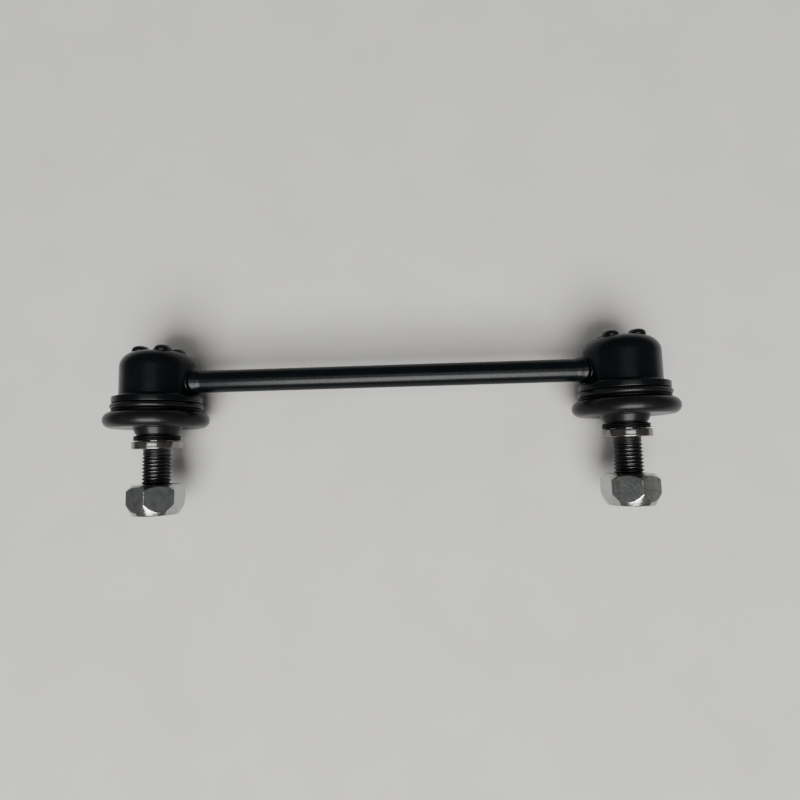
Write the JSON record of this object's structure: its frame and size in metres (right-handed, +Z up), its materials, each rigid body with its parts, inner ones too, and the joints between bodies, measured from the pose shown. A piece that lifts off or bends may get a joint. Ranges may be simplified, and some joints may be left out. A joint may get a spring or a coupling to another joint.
{
  "type": "stabilizer link",
  "caption": "Stabilizer link: straight round rod with a booted ball joint welded to each end, parallel threaded studs with lock nuts, joining an anti-roll bar to a suspension strut.",
  "frame": {"origin": "on the surface that the link lies on, under the centre of its box", "axes": "+X along the rod from the left joint to the right one, studs pointing along -Y, +Z up"},
  "size_m": [0.2026, 0.0602, 0.0356],
  "materials": {
    "black_paint": "semi-gloss black electrocoat on steel",
    "resin": "black acetal resin, shiny where it was staked with heat",
    "polished_steel": "ground and polished bearing ball",
    "stud_steel": "turned steel, bright collar and dark oiled thread",
    "rubber": "matte black moulded chloroprene rubber",
    "spring_wire": "blackened spring wire",
    "bright_zinc": "bright zinc plating"
  },
  "bodies": {
    "link_body": {"rod": "black_paint", "left_weld": "black_paint", "left_housing": "black_paint", "left_ball_seat": "resin", "left_boot": "rubber", "left_boot_clip": "spring_wire", "right_weld": "black_paint", "right_housing": "black_paint", "right_ball_seat": "resin", "right_boot": "rubber", "right_boot_clip": "spring_wire"},
    "left_ball": {"left_ball": "polished_steel"},
    "left_lip_ring": {"left_lip_ring": "spring_wire"},
    "left_stud": {"left_stud": "stud_steel"},
    "left_nut": {"left_nut": "bright_zinc"},
    "right_ball": {"right_ball": "polished_steel"},
    "right_lip_ring": {"right_lip_ring": "spring_wire"},
    "right_stud": {"right_stud": "stud_steel"},
    "right_nut": {"right_nut": "bright_zinc"}
  },
  "joints": [
    {"name": "left_tilt", "type": "hinge", "parent": "link_body", "child": "left_ball", "pos_m": [-0.0835, 0.0171, 0.0178], "axis": [1, 0, 0], "range_deg": [-16, 16], "deforming": ["left_boot"]},
    {"name": "left_swing", "type": "hinge", "parent": "left_ball", "child": "left_lip_ring", "pos_m": [-0.0835, 0.0171, 0.0178], "axis": [0, 0, 1], "range_deg": [-16, 16], "deforming": ["left_boot"]},
    {"name": "left_spin", "type": "hinge", "parent": "left_lip_ring", "child": "left_stud", "pos_m": [-0.0835, 0.0171, 0.0178], "axis": [0, -1, 0], "continuous": true},
    {"name": "left_nut_run", "type": "slide", "parent": "left_stud", "child": "left_nut", "axis": [0, -1, 0], "range_m": [-0.0122, 0.0083]},
    {"name": "right_tilt", "type": "hinge", "parent": "link_body", "child": "right_ball", "pos_m": [0.0835, 0.0171, 0.0178], "axis": [1, 0, 0], "range_deg": [-16, 16], "deforming": ["right_boot"]},
    {"name": "right_swing", "type": "hinge", "parent": "right_ball", "child": "right_lip_ring", "pos_m": [0.0835, 0.0171, 0.0178], "axis": [0, 0, 1], "range_deg": [-16, 16], "deforming": ["right_boot"]},
    {"name": "right_spin", "type": "hinge", "parent": "right_lip_ring", "child": "right_stud", "pos_m": [0.0835, 0.0171, 0.0178], "axis": [0, -1, 0], "continuous": true},
    {"name": "right_nut_run", "type": "slide", "parent": "right_stud", "child": "right_nut", "axis": [0, -1, 0], "range_m": [-0.0122, 0.0083]}
  ]
}
